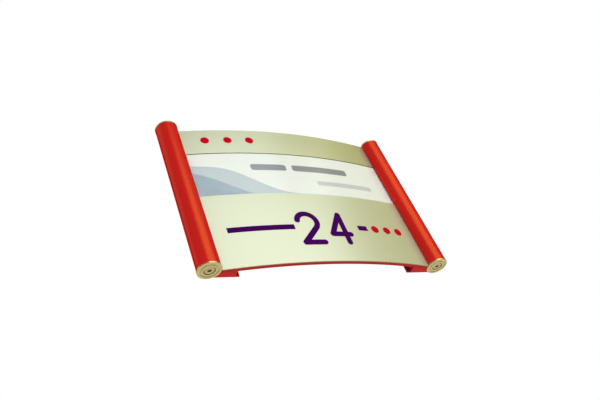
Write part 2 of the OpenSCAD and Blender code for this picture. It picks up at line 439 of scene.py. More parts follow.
@dataclass(frozen=True)
class SawnMetal(Finish):
    """Sawn or sheared end of dyed metal: matt, with the tool's fine lines across it."""

    light: Colour
    deep: Colour
    slant: Point = (0.94, 0.34)
    line_scale: float = 2200.0
    line_tone: float = 0.6
    line_rough: float = 0.2
    grain_scale: float = 4200.0
    grain_tone: float = 0.4
    roughness: float = 0.55
    gloss: float = 0.1
    relief: float = 0.02 * MM

    def shade(self, graph: Graph) -> Wire:
        """Builds the tool's lines at a slant across the end, and a fine grain.

        Args:
            graph: The material's graph.

        Returns:
            The finish's shader.
        """
        place = graph.place()
        x, y, _ = graph.split(place)
        lines = graph.row_noise(x * self.slant[0] + y * self.slant[1], self.line_scale)
        grain = graph.noise(place, self.grain_scale)
        tone = lines * self.line_tone + grain * self.grain_tone
        return graph.surface({
            "Base Color": graph.mix(tone, self.deep, self.light),
            "Roughness": self.roughness + (lines - NOISE_MIDDLE) * self.line_rough,
            "Specular IOR Level": self.gloss,
            "Normal": graph.bump(lines, self.relief),
        })


@dataclass(frozen=True)
class TurnedMetal(Finish):
    """Metal turned on a lathe about a rail's axis, with fine rings that catch the light."""

    light: Colour
    deep: Colour
    axis: Point
    roughness: float = 0.3
    metallic: float = 0.95
    # Darker, warmer disc about the axis, out to this radius, that paints shade into a screw's socket.
    socket_shade_r: float = 0.0
    socket_shade_soft: float = 0.08
    socket_shade: Colour = (0.42, 0.23, 0.09)
    ring_scale: float = 1700.0
    ring_detail: float = 3.0
    ring_tone: float = 0.7
    ring_rough: float = 0.16
    bloom_scale: float = 420.0
    bloom_tone: float = 0.3
    relief: float = 0.02 * MM

    def shade(self, graph: Graph) -> Wire:
        """Builds the rings from the distance to the axis, alike on both rails, and a painted shade in the
        socket.

        Args:
            graph: The material's graph.

        Returns:
            The finish's shader.
        """
        place = graph.place()
        x, y, _ = graph.split(place)
        radius = ((abs(x) - self.axis[0]) ** 2 + (y - self.axis[1]) ** 2) ** 0.5
        rings = graph.row_noise(radius, self.ring_scale, self.ring_detail)
        bloom = graph.noise(place, self.bloom_scale)
        tone = rings * self.ring_tone + bloom * self.bloom_tone
        colour = graph.mix(tone, self.deep, self.light)
        if self.socket_shade_r:
            rim, well = self.socket_shade_r * (1 + self.socket_shade_soft), self.socket_shade_r * (1 - self.socket_shade_soft)
            colour = graph.mix(graph.fade(radius, rim, well), colour, self.socket_shade)
        return graph.surface({
            "Base Color": colour,
            "Metallic": self.metallic,
            "Roughness": self.roughness + (rings - NOISE_MIDDLE) * self.ring_rough,
            "Normal": graph.bump(rings, self.relief),
        })


@dataclass(frozen=True)
class CutFilm(Finish):
    """Self-adhesive film cut to shape, with the faint peel of its cast surface."""

    light: Colour
    deep: Colour
    roughness: float = 0.6
    gloss: float = 0.01
    mottle_scale: float = 260.0
    mottle_detail: float = 3.0
    peel_scale: float = 1900.0
    peel_rough: float = 0.12
    relief: float = 0.006 * MM

    def shade(self, graph: Graph) -> Wire:
        """Builds the film's mottle and peel.

        Args:
            graph: The material's graph.

        Returns:
            The finish's shader.
        """
        place = graph.place()
        mottle = graph.noise(place, self.mottle_scale, self.mottle_detail)
        peel = graph.noise(place, self.peel_scale)
        return graph.surface({
            "Base Color": graph.mix(mottle, self.deep, self.light),
            "Roughness": self.roughness + (peel - NOISE_MIDDLE) * self.peel_rough,
            "Specular IOR Level": self.gloss,
            "Normal": graph.bump(peel, self.relief),
        })


@dataclass(frozen=True)
class PrintedBar:
    """Rounded bar printed on the card; places in mm on the card's face."""

    left: float
    right: float
    height: float
    rise: float


@dataclass(frozen=True)
class PrintedWave:
    """Soft wave printed on the card; crest and swing in mm, and its shift along the card in radians."""

    crest: float
    swing: float
    turn: float


@dataclass(frozen=True)
class PrintedCard(Finish):
    """White paper card, printed with two soft blue-grey waves and plain grey bars; lengths in mm."""

    paper: Colour
    paper_shade: Colour
    wave_light: Colour
    wave_deep: Colour
    ink_dark: Colour
    ink_light: Colour
    dark_bars: tuple[PrintedBar, ...]
    light_bars: tuple[PrintedBar, ...]
    dark_share: float = 0.92
    light_share: float = 0.9
    bar_corner: float = 0.3
    soft: float = 0.25
    far_wave: PrintedWave = PrintedWave(crest=36.0, swing=4.0, turn=0.4)
    near_wave: PrintedWave = PrintedWave(crest=21.0, swing=3.4, turn=2.3)
    far_share: float = 0.6
    wave_length: float = 13.0
    wave_start: float = 98.0
    wave_fall: float = 0.42
    ink_scale: float = 90.0
    ink_detail: float = 3.0
    fibre_stretch: Triple = (1.0, 1.0, 3.0)
    fibre_scale: float = 1500.0
    fibre_detail: float = 4.0
    fibre_rough: float = 0.2
    front_slant: float = -0.5
    roughness: float = 0.62
    gloss: float = 0.3
    relief: float = 0.008 * MM

    def bar_mask(self, graph: Graph, x: Wire, z: Wire, bars: Sequence[PrintedBar]) -> Wire:
        """Builds the mask of a line of bars.

        Args:
            graph: The graph to build in.
            x: Place across the card, in mm.
            z: Height on the card, in mm.
            bars: The bars of the line.

        Returns:
            A wire that is 1 on the bars and 0 off them.
        """
        masks = []
        for bar in bars:
            corner = bar.height * self.bar_corner
            half = (bar.right - bar.left) / 2 - corner
            off_x = (abs(x - (bar.left + bar.right) / 2) - half).at_least(0.0)
            off_z = (abs(z - bar.rise) - (bar.height / 2 - corner)).at_least(0.0)
            gap = (off_x ** 2 + off_z ** 2) ** 0.5 - corner
            masks.append(graph.fade(gap, self.soft, -self.soft))
        whole = masks[0]
        for mask in masks[1:]:
            whole = whole.at_least(mask)
        return whole

    def wave_mask(self, graph: Graph, x: Wire, z: Wire, wave: PrintedWave) -> Wire:
        """Builds the mask of one wave, which falls off towards the card's middle.

        Args:
            graph: The graph to build in.
            x: Place across the card, in mm.
            z: Height on the card, in mm.
            wave: The wave.

        Returns:
            A wire that is 1 under the wave and 0 above it.
        """
        swell = (x / self.wave_length + wave.turn).sine() * wave.swing + wave.crest
        slope = (x + self.wave_start) * self.wave_fall
        return graph.fade(z - swell + slope, self.soft, -self.soft)

    def shade(self, graph: Graph) -> Wire:
        """Builds the paper, the waves and the bars, which are on its front only.

        Args:
            graph: The material's graph.

        Returns:
            The finish's shader.
        """
        place = graph.place()
        x, _, z = graph.split(place * (1 / MM))
        fibre = graph.noise(place * self.fibre_stretch, self.fibre_scale, self.fibre_detail)
        ink = graph.noise(place, self.ink_scale, self.ink_detail)
        sheet = graph.mix(fibre, self.paper_shade, self.paper)
        tint = graph.mix(ink, self.wave_deep, self.wave_light)
        far = self.wave_mask(graph, x, z, self.far_wave)
        near = self.wave_mask(graph, x, z, self.near_wave)
        printed = graph.mix(far, sheet, graph.mix(self.far_share, sheet, tint))
        printed = graph.mix(near, printed, tint)
        dark = self.bar_mask(graph, x, z, self.dark_bars)
        light = self.bar_mask(graph, x, z, self.light_bars)
        printed = graph.mix(dark * self.dark_share, printed, self.ink_dark)
        printed = graph.mix(light * self.light_share, printed, self.ink_light)
        _, depth, _ = graph.split(graph.facing())
        return graph.surface({
            "Base Color": graph.mix(graph.fade(depth, 0.0, self.front_slant), sheet, printed),
            "Roughness": self.roughness + (fibre - NOISE_MIDDLE) * self.fibre_rough,
            "Specular IOR Level": self.gloss,
            "Normal": graph.bump(fibre, self.relief),
        })


@dataclass(frozen=True)
class ClearSheet(Finish):
    """Clear plastic sheet: seen through, with a mirror gloss that grows at a slant."""

    tint: Colour
    ior: float = 1.49
    roughness: float = 0.14
    smear_rough: float = 0.1
    smear_stretch: Triple = (1.0, 1.0, 4.0)
    smear_scale: float = 45.0
    smear_detail: float = 4.0

    def shade(self, graph: Graph) -> Wire:
        """Builds the gloss over the clear sheet, with faint smears.

        Args:
            graph: The material's graph.

        Returns:
            The finish's shader.
        """
        place = graph.place()
        smear = graph.noise(place * self.smear_stretch, self.smear_scale, self.smear_detail)
        gloss = graph.surface({
            "Base Color": WHITE,
            "Metallic": 1.0,
            "Roughness": self.roughness + smear * self.smear_rough,
        })
        clear = graph.add("ShaderNodeBsdfTransparent", None, {"Color": self.tint})
        inside = graph.add("ShaderNodeNewGeometry")["Backfacing"]
        share = graph.add("ShaderNodeFresnel", None, {"IOR": self.ior}) * (1 - inside)
        return graph.blend(share, clear, gloss)


@dataclass(frozen=True)
class StudioFloor(Finish):
    """Pale matt studio floor with a faint speckle."""

    light: Colour
    deep: Colour
    roughness: float = 0.9
    speckle_scale: float = 60.0
    speckle_detail: float = 4.0
    glow: float = 0.6
    near: float = 0.6
    far: float = 2.4

    def shade(self, graph: Graph) -> Wire:
        """Builds the speckled floor, which to the eye runs out into the white surround.

        Args:
            graph: The material's graph.

        Returns:
            The finish's shader.
        """
        place = graph.place()
        speckle = graph.noise(place, self.speckle_scale, self.speckle_detail)
        x, y, _ = graph.split(place)
        away = graph.fade((x ** 2 + y ** 2) ** 0.5, self.near, self.far)
        matt = graph.surface({
            "Base Color": graph.mix(speckle, self.deep, self.light),
            "Roughness": self.roughness,
        })
        white = graph.add("ShaderNodeEmission", None, {"Color": WHITE, "Strength": 1.0})
        return graph.blend(graph.seen() * (self.glow + away * (1 - self.glow)), matt, white)


@dataclass(frozen=True)
class TintedCard(Finish):
    """Evenly lit card of one tint."""

    tint: Colour

    def shade(self, graph: Graph) -> Wire:
        """Builds the card's even glow."""
        return graph.add("ShaderNodeEmission", None, {"Color": self.tint, "Strength": 1.0})


def ring_offset(points: Sequence[Point], distance: float) -> list[Point]:
    """Moves a closed outline sideways, to its left as it runs.

    Args:
        points: The outline's corners.
        distance: How far to move it.

    Returns:
        The moved corners, as many as before.
    """
    moved = []
    count = len(points)
    for i, (x, y) in enumerate(points):
        before = Vector(points[i]) - Vector(points[i - 1])
        after = Vector(points[(i + 1) % count]) - Vector(points[i])
        left_before = Vector((-before.y, before.x)).normalized()
        left_after = Vector((-after.y, after.x)).normalized()
        normal = (left_before + left_after).normalized()
        reach = distance / max(normal.dot(left_after), MITRE_LIMIT)
        moved.append((x + normal.x * reach, y + normal.y * reach))
    return moved


def round_corners(corners: Sequence[Triple], steps: int = 4) -> list[Point]:
    """Rounds the corners of a closed outline.

    Args:
        corners: X, Y and rounding radius of each corner; a radius of 0 leaves it as it is.
        steps: Segments of each rounding.

    Returns:
        The outline's points.
    """
    outline: list[Point] = []
    count = len(corners)
    for i, (x, y, radius) in enumerate(corners):
        here = Vector((x, y))
        back = Vector(corners[i - 1][:2]) - here
        ahead = Vector(corners[(i + 1) % count][:2]) - here
        turn = back.angle(ahead)
        if radius <= 0 or turn > FLAT_CORNER:
            outline.append((x, y))
            continue
        most = min(back.length * ROUNDING_SHARE, ahead.length * ROUNDING_SHARE)
        reach = min(radius / math.tan(turn / 2), most)
        start = here + back.normalized() * reach
        stop = here + ahead.normalized() * reach
        for step in range(steps + 1):
            t = step / steps
            point = start * (1 - t) ** 2 + here * 2 * t * (1 - t) + stop * t ** 2
            outline.append((point.x, point.y))
    return outline


def bridge(mesh: Mesh, rings: Sequence[Ring], closed: bool = False) -> None:
    """Joins rings of vertices, alike in number, by quads, and a lone vertex by a fan.

    Args:
        mesh: The mesh that holds them.
        rings: The rings in order.
        closed: Whether the last ring joins the first.
    """
    pairs = list(zip(rings, rings[1:]))
    if closed:
        pairs.append((rings[-1], rings[0]))
    for low, high in pairs:
        count = max(len(low), len(high))
        for i in range(count):
            j = (i + 1) % count
            corners = [low[i % len(low)], low[j % len(low)], high[j % len(high)], high[i % len(high)]]
            unique = list(dict.fromkeys(corners))
            mesh.faces.new(unique)


def prism(outline: Sequence[Point], holes: Sequence[Sequence[Point]], low: float, high: float, edge: float,
          steps: int = 3) -> Mesh:
    """Extrudes an outline upwards, with rounded edges at both ends.

    Args:
        outline: The outer outline, anticlockwise.
        holes: Outlines of holes through it, clockwise.
        low: Height of its lower end.
        high: Height of its upper end.
        edge: Radius of the rounded edges.
        steps: Segments of each rounded edge.

    Returns:
        The closed mesh.
    """
    mesh = bmesh.new()
    bends = [QUARTER_TURN * step / steps for step in range(steps + 1)]
    levels = [(low + edge * (1 - math.sin(bend)), edge * (1 - math.cos(bend))) for bend in reversed(bends)]
    levels += [(low + high - z, inset) for z, inset in reversed(levels)]
    ends: list[list[bmesh.types.BMEdge]] = [[], []]
    for loop in (outline, *holes):
        rings = [[mesh.verts.new((x, y, z)) for x, y in ring_offset(loop, inset)] for z, inset in levels]
        bridge(mesh, rings)
        for rim, ring in zip(ends, (rings[0], rings[-1])):
            rim += [mesh.edges.get((ring[i - 1], ring[i])) for i in range(len(ring))]
    for rim, up in zip(ends, (-1, 1)):
        bmesh.ops.triangle_fill(mesh, use_beauty=True, edges=rim, normal=(0, 0, up))
    bmesh.ops.recalc_face_normals(mesh, faces=mesh.faces)
    return mesh


def lathe(profile: Sequence[Point], segments: int, closed: bool) -> Mesh:
    """Turns a profile about the Z axis.

    Args:
        profile: Radius and height of each point; a radius of 0 becomes one vertex.
        segments: Segments around the axis.
        closed: Whether the profile's last point joins its first.

    Returns:
        The turned mesh.
    """
    mesh = bmesh.new()
    turns = [math.tau * i / segments for i in range(segments)]
    rings = []
    for radius, z in profile:
        if radius <= 0:
            rings.append([mesh.verts.new((0, 0, z))])
        else:
            rings.append([mesh.verts.new((radius * math.cos(a), radius * math.sin(a), z)) for a in turns])
    bridge(mesh, rings, closed)
    bmesh.ops.recalc_face_normals(mesh, faces=mesh.faces)
    return mesh


def flat_sheet(width: float, height: float) -> Mesh:
    """Builds a flat rectangle about the origin.

    Args:
        width: Its size along X.
        height: Its size along Y.

    Returns:
        The mesh of one face.
    """
    mesh = bmesh.new()
    half = 1 / 2
    bmesh.ops.create_grid(mesh, x_segments=1, y_segments=1, size=half)
    mesh.transform(Matrix.Diagonal((width, height, 1.0, 1.0)))
    return mesh


def make_object(name: str, mesh: Mesh) -> Piece:
    """Links a mesh into the scene as an object of its own.

    Args:
        name: The object's name.
        mesh: The mesh, which is freed.

    Returns:
        The new object.
    """
    data = bpy.data.meshes.new(name)
    mesh.to_mesh(data)
    mesh.free()
    made = bpy.data.objects.new(name, data)
    bpy.context.scene.collection.objects.link(made)
    return made


def apply_modifiers(piece: Piece) -> None:
    """Puts a piece's modifiers into its mesh.

    Args:
        piece: The piece, which is left with none.
    """
    graph = bpy.context.evaluated_depsgraph_get()
    applied = bpy.data.meshes.new_from_object(piece.evaluated_get(graph))
    piece.modifiers.clear()
    old = piece.data
    piece.data = applied
    bpy.data.meshes.remove(old)


def carve(piece: Piece, cutters: Sequence[Piece]) -> None:
    """Cuts other objects' shapes out of a piece and removes them.

    Args:
        piece: The piece to cut.
        cutters: The objects that are cut away.
    """
    for cutter in cutters:
        cut = piece.modifiers.new("cut", "BOOLEAN")
        cut.operation = "DIFFERENCE"
        cut.solver = "EXACT"
        cut.object = cutter
    apply_modifiers(piece)
    for cutter in cutters:
        bpy.data.meshes.remove(cutter.data)


def settle(piece: Piece, finish: Finish, body: Body, *nodes: str, ends: Optional[Finish] = None) -> Piece:
    """Shades a piece, dresses it and puts it on its body in place of CAD nodes.

    Args:
        piece: The piece, in its place.
        finish: Its finish.
        body: The body that it rides on.
        *nodes: The CAD nodes that it stands for.
        ends: Finish of its lowest and highest faces, where that differs.

    Returns:
        The same piece.
    """
    piece.data.polygons.foreach_set("use_smooth", [True] * len(piece.data.polygons))
    piece.data.set_sharp_from_angle(angle=CREASE)
    flat = piece.modifiers.new("flat", "WEIGHTED_NORMAL")
    flat.weight = FACE_WEIGHT
    flat.keep_sharp = True
    apply_modifiers(piece)
    piece.data.materials.clear()
    piece.data.materials.append(finish.material())
    if ends:
        piece.data.materials.append(ends.material())
        heights = [vert.co.z for vert in piece.data.vertices]
        low, high = min(heights) + END_BAND, max(heights) - END_BAND
        for face in piece.data.polygons:
            at_end = not low < face.center.z < high
            face.material_index = int(at_end and abs(face.normal.z) > END_SLANT)
    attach(piece, body.value)
    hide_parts(*nodes)
    return piece


@dataclass
class Bow:
    """Arc that the face and the back panel follow, about an upright axis behind the wall.

    The sheets on it that reach the rails' lower caps have their lower corners cut away, past notch_x
    from the middle and up to notch_h.
    """

    face_radius: float = 550 * MM
    panel_t: float = 1.0 * MM
    card_t: float = 0.25 * MM
    lens_t: float = 0.4 * MM
    lens_gap: float = 0.05 * MM
    plate_t: float = 3.0 * MM
    plate_gap: float = 0.2 * MM
    slot_gap: float = 0.2 * MM
    seat_gap: float = 0.05 * MM
    notch_x: float = 97.4 * MM
    notch_h: float = 1.3 * MM
    columns: int = 72
    column_gap: float = 1.0 * MM
    rim_bend: float = math.radians(45)
    rim_steps: int = 3
    rim_roundness: float = 0.5

    def __post_init__(self) -> None:
        """Takes the bow's place and width from the number panel of the frame."""
        low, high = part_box("number_panel")
        self.centre_y = low.y + self.face_radius
        self.edge_x = high.x
        self.half_angle = math.asin(self.edge_x / self.face_radius)

    @property
    def panel_back(self) -> float:
        """Radius of the face panels' backs."""
        return self.face_radius - self.panel_t

    @property
    def plate_front(self) -> float:
        """Radius of the back panel's front."""
        return self.panel_back - self.plate_gap

    @property
    def plate_back(self) -> float:
        """Radius of the back panel's back."""
        return self.plate_front - self.plate_t

    @property
    def slot_front(self) -> float:
        """Radius of the front wall of the rails' slots."""
        return self.face_radius + self.slot_gap

    @property
    def slot_back(self) -> float:
        """Radius of the back wall of the rails' slots."""
        return self.plate_back - self.seat_gap

    def y_at(self, x: float, radius: float) -> float:
        """Y of a layer at a distance from the middle."""
        return self.centre_y - math.sqrt(radius ** 2 - x ** 2)

    def sheet(self, front: float, back: float, low: float, high: float, edge: float,
              notched: bool = False) -> Mesh:
        """Builds a curved sheet with rounded edges.

        Args:
            front: Radius of its front.
            back: Radius of its back.
            low: Height of its lower edge.
            high: Height of its upper edge.
            edge: Radius of the rounded edges.
            notched: Whether its lower corners are cut away.

        Returns:
            The closed mesh.
        """
        reach = self.half_angle * self.face_radius
        cut = math.asin(self.notch_x / self.face_radius) * self.face_radius
        stations = [reach * (2 * i / self.columns - 1) for i in range(self.columns + 1)]
        levels = [low, high]
        if notched:
            kept = [s for s in stations if abs(abs(s) - cut) > self.column_gap or abs(s) == reach]
            stations = sorted([*kept, -cut, cut])
            levels = [low, low + self.notch_h, high]
        mesh = bmesh.new()
        grid = [[mesh.verts.new((s, 0, z)) for z in levels] for s in stations]
        for i, (left, right) in enumerate(zip(stations, stations[1:])):
            for j in range(len(levels) - 1):
                if notched and j == 0 and abs(left + right) / 2 > cut:
                    continue
                mesh.faces.new((grid[i][j], grid[i + 1][j], grid[i + 1][j + 1], grid[i][j + 1]))
        loose = [vert for vert in mesh.verts if not vert.link_faces]
        bmesh.ops.delete(mesh, geom=loose, context="VERTS")
        fronts = list(mesh.faces)
        made = bmesh.ops.extrude_face_region(mesh, geom=fronts, use_keep_orig=True)["geom"]
        for vert in made:
            if isinstance(vert, bmesh.types.BMVert):
                vert.co.y = front - back
        bmesh.ops.recalc_face_normals(mesh, faces=mesh.faces)
        rims = [e for e in mesh.edges if len(e.link_faces) == 2 and e.calc_face_angle() > self.rim_bend]
        bmesh.ops.bevel(mesh, geom=rims, offset=edge, segments=self.rim_steps, profile=self.rim_roundness,
                        affect="EDGES", clamp_overlap=True)
        for vert in mesh.verts:
            angle = vert.co.x / self.face_radius
            radius = front - vert.co.y
            vert.co.x = radius * math.sin(angle)
            vert.co.y = self.centre_y - radius * math.cos(angle)
        return mesh


@dataclass
class Rail:
    """Slotted tube with a foot along its length, drilled for the wall screws."""

    side: Side
    bow: Bow
    finish: Finish
    end_finish: Finish
    # Dark red that paints shade on the foot's inner walls, where shadow falls behind the plate.
    painted_shade_finish: Finish
    tube_r: float = 9.5 * MM
    bore_r: float = 6.5 * MM
    side_gap: float = 0.45 * MM
    lip_t: float = 1.4 * MM
    lip_w: float = 3.5 * MM
    setback: float = 3.2 * MM
    hole_r: float = 2.25 * MM
    sink_r: float = 4.3 * MM
    hole_x: float = 90 * MM
    hole_z: float = 55 * MM
    hole_past: float = 1.0 * MM
    hole_segments: int = 48
    edge: float = 0.25 * MM
    corner_r: float = 0.4 * MM
    arc_step: float = math.radians(3)
    bed_steps: int = 12
    inner_slant: float = 0.5

    def __post_init__(self) -> None:
        """Takes the rail's place from the frame, as on the right."""
        low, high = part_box("right_rail")
        self.axis: Point = (high.x - self.tube_r, low.y + self.tube_r)
        self.foot_x = low.x
        self.low, self.high = low.z, high.z
        self.slot_floor = self.bow.edge_x + self.side_gap

    @property
    def name(self) -> str:
        """The CAD node's name."""
        return f"{self.side.name.lower()}_rail"

    def arc(self, start: float, stop: float, radius: float) -> list[Point]:
        """Draws an arc about the tube's axis.

        Args:
            start: Angle of its first point.
            stop: Angle of its last point.
            radius: Its radius.

        Returns:
            The arc's points.
        """
        count = max(2, round(abs(stop - start) / self.arc_step))
        angles = [start + (stop - start) * i / count for i in range(count + 1)]
        return [(self.axis[0] + radius * math.cos(a), self.axis[1] + radius * math.sin(a)) for a in angles]

    def outline(self) -> list[Point]:
        """Draws the right rail's section.

        Returns:
            Its outline, anticlockwise.
        """
        outer_x = self.axis[0] - self.setback
        body_x = self.foot_x + self.lip_w
        heel = math.atan2(math.sqrt(self.tube_r ** 2 - self.setback ** 2), -self.setback)
        mouth_y = self.bow.y_at(self.axis[0] - self.tube_r, self.bow.slot_front) - self.axis[1]
        mouth = math.atan2(mouth_y, -math.sqrt(self.tube_r ** 2 - mouth_y ** 2))
        tube = self.arc(heel, mouth, self.tube_r)
        bed_step = (self.slot_floor - body_x) / self.bed_steps
        bed_x = [self.slot_floor - bed_step * i for i in range(1, self.bed_steps)]
        fine = self.corner_r
        corners = [(self.foot_x, 0.0, fine), (outer_x, 0.0, fine)]
        corners += [(*tube[0], fine)]
        corners += [(x, y, 0.0) for x, y in tube[1:-1]]
        corners += [(*tube[-1], fine)]
        corners += [(self.slot_floor, self.bow.y_at(self.slot_floor, self.bow.slot_front), 0.0)]
        corners += [(self.slot_floor, self.bow.y_at(self.slot_floor, self.bow.slot_back), 0.0)]
        corners += [(x, self.bow.y_at(x, self.bow.slot_back), 0.0) for x in bed_x]
        corners += [(body_x, self.bow.y_at(body_x, self.bow.slot_back), fine)]
        corners += [(body_x, -self.lip_t, fine), (self.foot_x, -self.lip_t, fine)]
        return round_corners(corners)[::-1]

    def wall_holes(self) -> list[Piece]:
        """Makes the countersunk cutters of the two wall holes, as on the right.

        Returns:
            The cutters.
        """
        top = -self.bow.y_at(self.hole_x, self.bow.slot_back)
        sink = self.sink_r - self.hole_r
        past = self.hole_past
        profile = [(0, -past), (self.hole_r, -past), (self.hole_r, top - sink), (self.sink_r, top),
                   (self.sink_r, top + past), (0, top + past)]
        forwards = Matrix.Rotation(QUARTER_TURN, 4, "X")
        cutters = []
        for end in End:
            hole = lathe(profile, self.hole_segments, closed=False)
            seat = Matrix.Translation((self.hole_x, 0, end.value * self.hole_z))
            hole.transform(seat @ forwards)
            cutters.append(make_object("hole", hole))
        return cutters

    def build(self) -> list[Piece]:
        """Builds and dresses the rail.

        Returns:
            Its one piece.
        """
        bore = self.arc(math.tau, 0, self.bore_r)[:-1]
        mesh = prism(self.outline(), [bore], self.low, self.high, self.edge)
        piece = make_object(f"{self.name}_extrusion", mesh)
        carve(piece, self.wall_holes())
        if self.side is Side.LEFT:
            piece.data.transform(MIRROR_X)
            piece.data.flip_normals()
        settle(piece, self.finish, Body.FRAME, self.name, ends=self.end_finish)
        self.paint_shade_on_inner_walls(piece)
        return [piece]

    def paint_shade_on_inner_walls(self, piece: Piece) -> None:
        """Paints shade on the foot's walls towards the middle, behind the plate, with the rail's dark finish.

        Args:
            piece: The dressed rail.
        """
        inner = len(piece.data.materials)
        piece.data.materials.append(self.painted_shade_finish.material())
        reach = self.foot_x + self.lip_w + self.corner_r
        for face in piece.data.polygons:
            inside = abs(face.center.x) < reach and face.normal.y < self.inner_slant
            if inside and not face.material_index:
                face.material_index = inner


@dataclass
class RailEnd:
    """Turned cap, socket screw and threaded plug at one end of a rail."""

    rail: Rail
    end: End
    cap_finish: Finish
    screw_finish: Finish
    plug_finish: Finish
    cap_r: float = 9.8 * MM
    cap_t: float = 1.5 * MM
    chamfer: float = 0.4 * MM
    spigot_r: float = 6.45 * MM
    spigot_len: float = 4.0 * MM
    ring_r: float = 7.0 * MM
    ring_w: float = 1.0 * MM
    ring_depth: float = 0.6 * MM
    recess_r: float = 4.6 * MM
    recess_depth: float = 2.75 * MM
    hole_r: float = 2.85 * MM
    edge: float = 0.15 * MM
    edge_steps: int = 3
    notch_lead: float = 1.0 * MM
    notch_past: float = 0.5 * MM
    notch_edge: float = 0.01 * MM
    notch_steps: int = 6
    head_r: float = 4.25 * MM
    head_sink: float = 0.15 * MM
    head_bevel: float = 0.8 * MM
    head_steps: int = 5
    shank_r: float = 2.5 * MM
    screw_len: float = 14 * MM
    tip_bevel: float = 0.6 * MM
    socket_af: float = 3.0 * MM
    socket_depth: float = 1.6 * MM
    socket_cone: float = 0.5 * MM
    socket_lead: float = 0.12 * MM
    segments: int = 96

    @property
    def name(self) -> str:
        """The common part of the CAD nodes' names."""
        return f"{self.end.name.lower()}_{self.rail.side.name.lower()}"

    def place(self) -> Matrix:
        """Works out how a piece on z = 0, outer face down, comes to the rail's end.

        Returns:
            The matrix that moves it there.
        """
        tip = (self.rail.high + self.cap_t) * self.end.value
        seat = Matrix.Translation((self.rail.side.value * self.rail.axis[0], self.rail.axis[1], tip))
        return seat @ Matrix.Scale(-self.end.value, 4, (0, 0, 1))

    def put(self, name: str, mesh: Mesh) -> Piece:
        """Moves a mesh to the rail's end and makes it an object.

        Args:
            name: The object's name.
            mesh: The mesh, on z = 0 with its outer face down.

        Returns:
            The object.
        """
        mesh.transform(self.place())
        bmesh.ops.recalc_face_normals(mesh, faces=mesh.faces)
        return make_object(name, mesh)

    def cap_profile(self) -> list[Point]:
        """Draws the cap's section, with its edges rounded.

        Returns:
            Radius and height of each point.
        """
        inner, outer = self.ring_r - self.ring_w / 2, self.ring_r + self.ring_w / 2
        fine = self.edge
        return round_corners([
            (self.hole_r, self.recess_depth, 0.0),
            (self.recess_r, self.recess_depth, 0.0),
            (self.recess_r, 0.0, fine),
            (inner, 0.0, fine),
            (inner, self.ring_depth, fine),
            (outer, self.ring_depth, fine),
            (outer, 0.0, fine),
            (self.cap_r - self.chamfer, 0.0, fine),
            (self.cap_r, self.chamfer, fine),
            (self.cap_r, self.cap_t, fine),
            (self.spigot_r, self.cap_t, 0.0),
            (self.spigot_r, self.cap_t + self.spigot_len, fine),
            (self.hole_r, self.cap_t + self.spigot_len, fine),
        ], self.edge_steps)

    def entry_notch(self) -> Piece:
        """Makes the cutter of the notch through which the face panels pass.

        Returns:
            The cutter.
        """
        bow, rail = self.rail.bow, self.rail
        start = rail.axis[0] - self.cap_r - self.notch_lead
        steps = self.notch_steps
        across = [start + (rail.slot_floor - start) * i / steps for i in range(steps + 1)]
        outline = [(x, bow.y_at(x, bow.slot_front)) for x in across]
        outline += [(x, bow.y_at(x, bow.plate_front)) for x in reversed(across)]
        low, high = rail.high - self.notch_past, rail.high + self.cap_t + self.notch_past
        notch = prism(outline, [], low, high, self.notch_edge, steps=1)
        if rail.side is Side.LEFT:
            notch.transform(MIRROR_X)
            bmesh.ops.recalc_face_normals(notch, faces=notch.faces)
        return make_object("notch", notch)

    def hexagon(self, angle: float) -> float:
        """Radius of the screw's hexagon socket at an angle, from its width across the flats."""
        return self.socket_af / 2 / math.cos(angle % (math.pi / 3) - math.pi / 6)

    def screw_mesh(self) -> Mesh:
        """Builds the screw: a domed head with a hexagon socket, and its shank.

        Returns:
            The closed mesh, on z = 0 with its head down.
        """
        seat = self.recess_depth
        tip = seat + self.screw_len
        floor = self.head_sink + self.socket_depth
        lead = self.socket_lead
        around = [math.tau * i / self.segments for i in range(self.segments)]
        mesh = bmesh.new()

        def ring(radii: Sequence[float], z: float) -> Ring:
            """Adds one ring of vertices."""
            return [mesh.verts.new((r * math.cos(a), r * math.sin(a), z)) for r, a in zip(radii, around)]

        def circle(radius: float, z: float) -> Ring:
            """Adds one round ring."""
            return ring([radius] * self.segments, z)

        hexes = [self.hexagon(a) for a in around]
        rings = [[mesh.verts.new((0, 0, floor + self.socket_cone))]]
        rings.append(ring(hexes, floor))
        rings.append(ring(hexes, self.head_sink + lead))
        rings.append(ring([h + lead for h in hexes], self.head_sink))
        for step in range(self.head_steps + 1):
            bend = QUARTER_TURN * step / self.head_steps
            radius = self.head_r - self.head_bevel * (1 - math.sin(bend))
            rings.append(circle(radius, self.head_sink + self.head_bevel * (1 - math.cos(bend))))
        rings.append(circle(self.head_r, seat))
        rings.append(circle(self.shank_r, seat))
        rings.append(circle(self.shank_r, tip - self.tip_bevel))
        rings.append(circle(self.shank_r - self.tip_bevel, tip))
        rings.append([mesh.verts.new((0, 0, tip))])
        bridge(mesh, rings)
        return mesh

    def build(self) -> list[Piece]:
        """Builds and dresses the cap, the screw and the plug.

        Returns:
            The three pieces.
        """
        cap = self.put(f"{self.name}_cap_turning", lathe(self.cap_profile(), self.segments, closed=True))
        if self.end is End.UPPER:
            carve(cap, [self.entry_notch()])
        settle(cap, self.cap_finish, Body.FRAME, f"{self.name}_cap")
        screw = self.put(f"{self.name}_socket_screw", self.screw_mesh())
        settle(screw, self.screw_finish, Body.FRAME, f"{self.name}_screw")
        return [cap, screw, self.plug_finish.dress_node(f"{self.name}_plug")]


